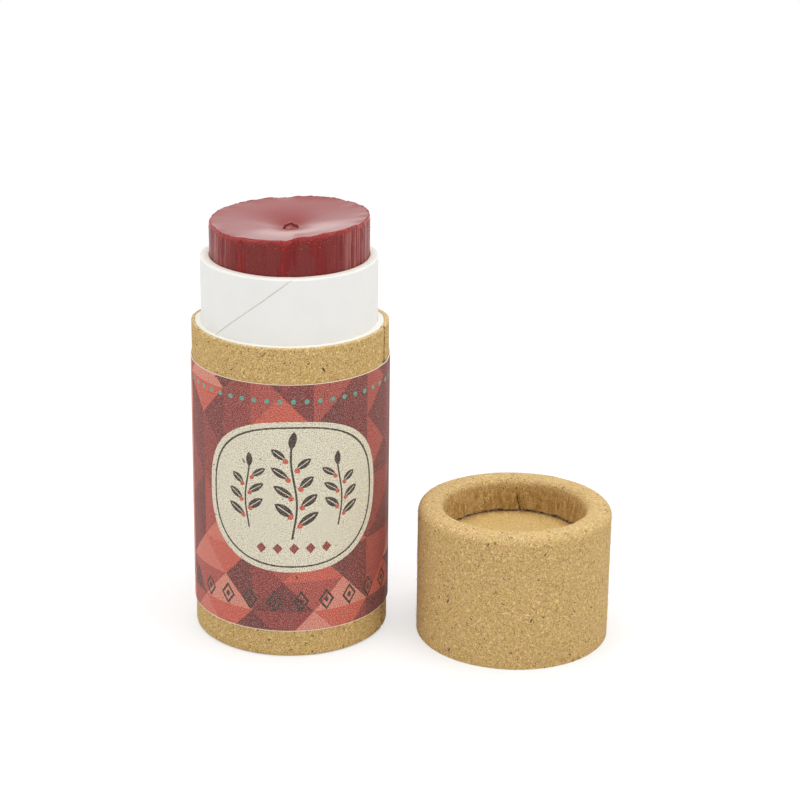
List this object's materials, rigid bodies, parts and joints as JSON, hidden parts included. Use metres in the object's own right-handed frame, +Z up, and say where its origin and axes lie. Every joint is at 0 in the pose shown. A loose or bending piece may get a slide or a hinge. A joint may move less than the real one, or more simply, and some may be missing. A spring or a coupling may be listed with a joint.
{
  "type": "lip and cheek tint",
  "caption": "Lip and cheek tint in a round paperboard push-up tube, its solid stick raised above a white neck, with the curled-rim kraft cap standing beside it.",
  "frame": {"origin": "on the table, under the middle of the box that holds the tube and the cap together", "axes": "+Z up along the tube's and the cap's axes, +X from the tube towards the cap, +Y away from the side that faces the viewer"},
  "size_m": [0.0598, 0.031, 0.0609],
  "materials": {
    "kraft_paper": "unbleached kraft paper with dark and light fibres, matt",
    "white_board": "white paperboard, matt, showing its cut edge",
    "white_paper": "smooth white paper, spiral wound, with a thin butt seam",
    "greaseproof_paper": "greaseproof paper, satin",
    "grey_board": "recycled board, matt",
    "label_print": "uncoated label paper printed in berry reds, coral and cream",
    "berry_tint": "poured wax and oil stick, satin, with drag lines on its side"
  },
  "bodies": {
    "tube": {"body_board_tube": "white_board", "body_kraft_facing": "kraft_paper", "printed_label": "label_print", "neck_board_tube": "white_board", "neck_white_facing": "white_paper", "neck_greaseproof_liner": "greaseproof_paper"},
    "pusher": {"pusher_skirt": "grey_board", "push_disc": "grey_board", "greaseproof_disc": "greaseproof_paper", "tint_stick": "berry_tint"},
    "cap": {"cap_board_tube": "white_board", "cap_kraft_facing": "kraft_paper", "cap_disc_kraft_paper": "kraft_paper", "cap_disc_board": "grey_board", "cap_disc_greaseproof_lining": "greaseproof_paper"}
  },
  "joints": [
    {"name": "push_up", "type": "slide", "parent": "tube", "child": "pusher", "axis": [0, 0, 1], "range_m": [-0.0051, 0.035]},
    {"name": "cap_lift", "type": "slide", "parent": "tube", "child": "cap", "axis": [0, 0, 1], "range_m": [0, 0.062]}
  ]
}
